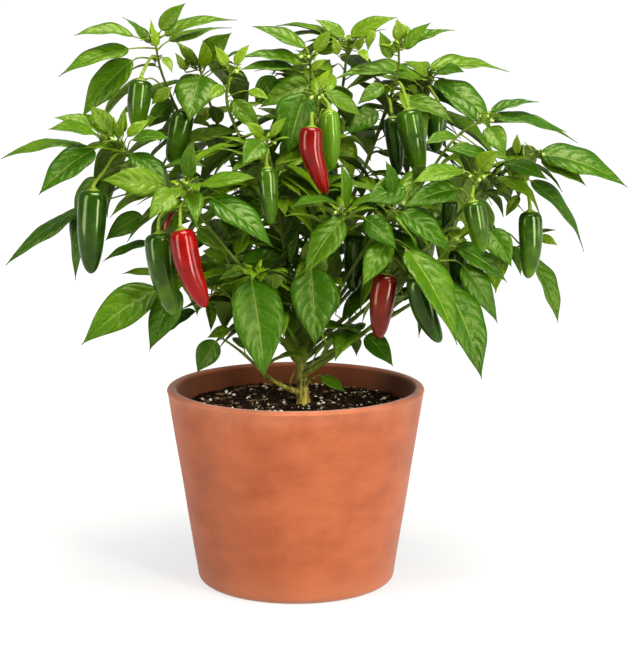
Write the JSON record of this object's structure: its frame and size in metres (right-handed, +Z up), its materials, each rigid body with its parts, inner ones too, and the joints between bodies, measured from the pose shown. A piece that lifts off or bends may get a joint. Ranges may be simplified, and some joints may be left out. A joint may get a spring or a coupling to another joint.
{
  "type": "potted chilli pepper plant",
  "caption": "Bushy chilli pepper plant with hanging green and red fruits, standing in a round tapered terracotta pot filled with potting soil.",
  "frame": {"origin": "centre of the pot's underside, on the ground", "axes": "+Z up along the pot's axis, +X to the plant's right as seen from its front, the front faces -Y"},
  "size_m": [0.5998, 0.3614, 0.5718],
  "materials": {
    "pot": "matte",
    "soil": "matte",
    "wood": "matte",
    "foliage": "satin",
    "fruit_green": "gloss",
    "fruit_red": "gloss",
    "fruit_turning": "gloss"
  },
  "bodies": {
    "root": {"fruit_01": "fruit_green", "fruit_02": "fruit_green", "fruit_03": "fruit_green", "fruit_04": "fruit_green", "fruit_05": "fruit_red", "fruit_06": "fruit_green", "fruit_07": "fruit_red", "fruit_08": "fruit_green", "fruit_09": "fruit_green", "fruit_10": "fruit_green", "fruit_11": "fruit_green", "fruit_12": "fruit_green", "fruit_13": "fruit_green", "fruit_14": "fruit_turning", "fruit_15": "fruit_green", "fruit_16": "fruit_green", "fruit_17": "fruit_green", "fruit_18": "fruit_green", "fruit_19": "fruit_red", "fruit_20": "fruit_green", "fruit_21": "fruit_green", "leafy_back_centre": "foliage", "leafy_back_left": "foliage", "leafy_back_low": "foliage", "leafy_back_right": "foliage", "leafy_centre_front": "foliage", "leafy_centre_high": "foliage", "leafy_centre_left": "foliage", "leafy_centre_right": "foliage", "leafy_front_left": "foliage", "leafy_front_low": "foliage", "leafy_left_centre": "foliage", "leafy_low_left": "foliage", "leafy_low_right": "foliage", "leafy_low_shoot": "foliage", "leafy_mid_left": "foliage", "leafy_outer_left": "foliage", "leafy_outer_right": "foliage", "leafy_outer_right_low": "foliage", "leafy_right": "foliage", "leafy_right_low": "foliage", "leafy_rim_left": "foliage", "leafy_top_centre": "foliage", "leafy_top_centre_left": "foliage", "leafy_top_centre_right": "foliage", "leafy_top_left": "foliage", "leafy_top_right": "foliage", "pot": "pot", "soil": "soil", "trunk": "wood"}
  },
  "joints": []
}
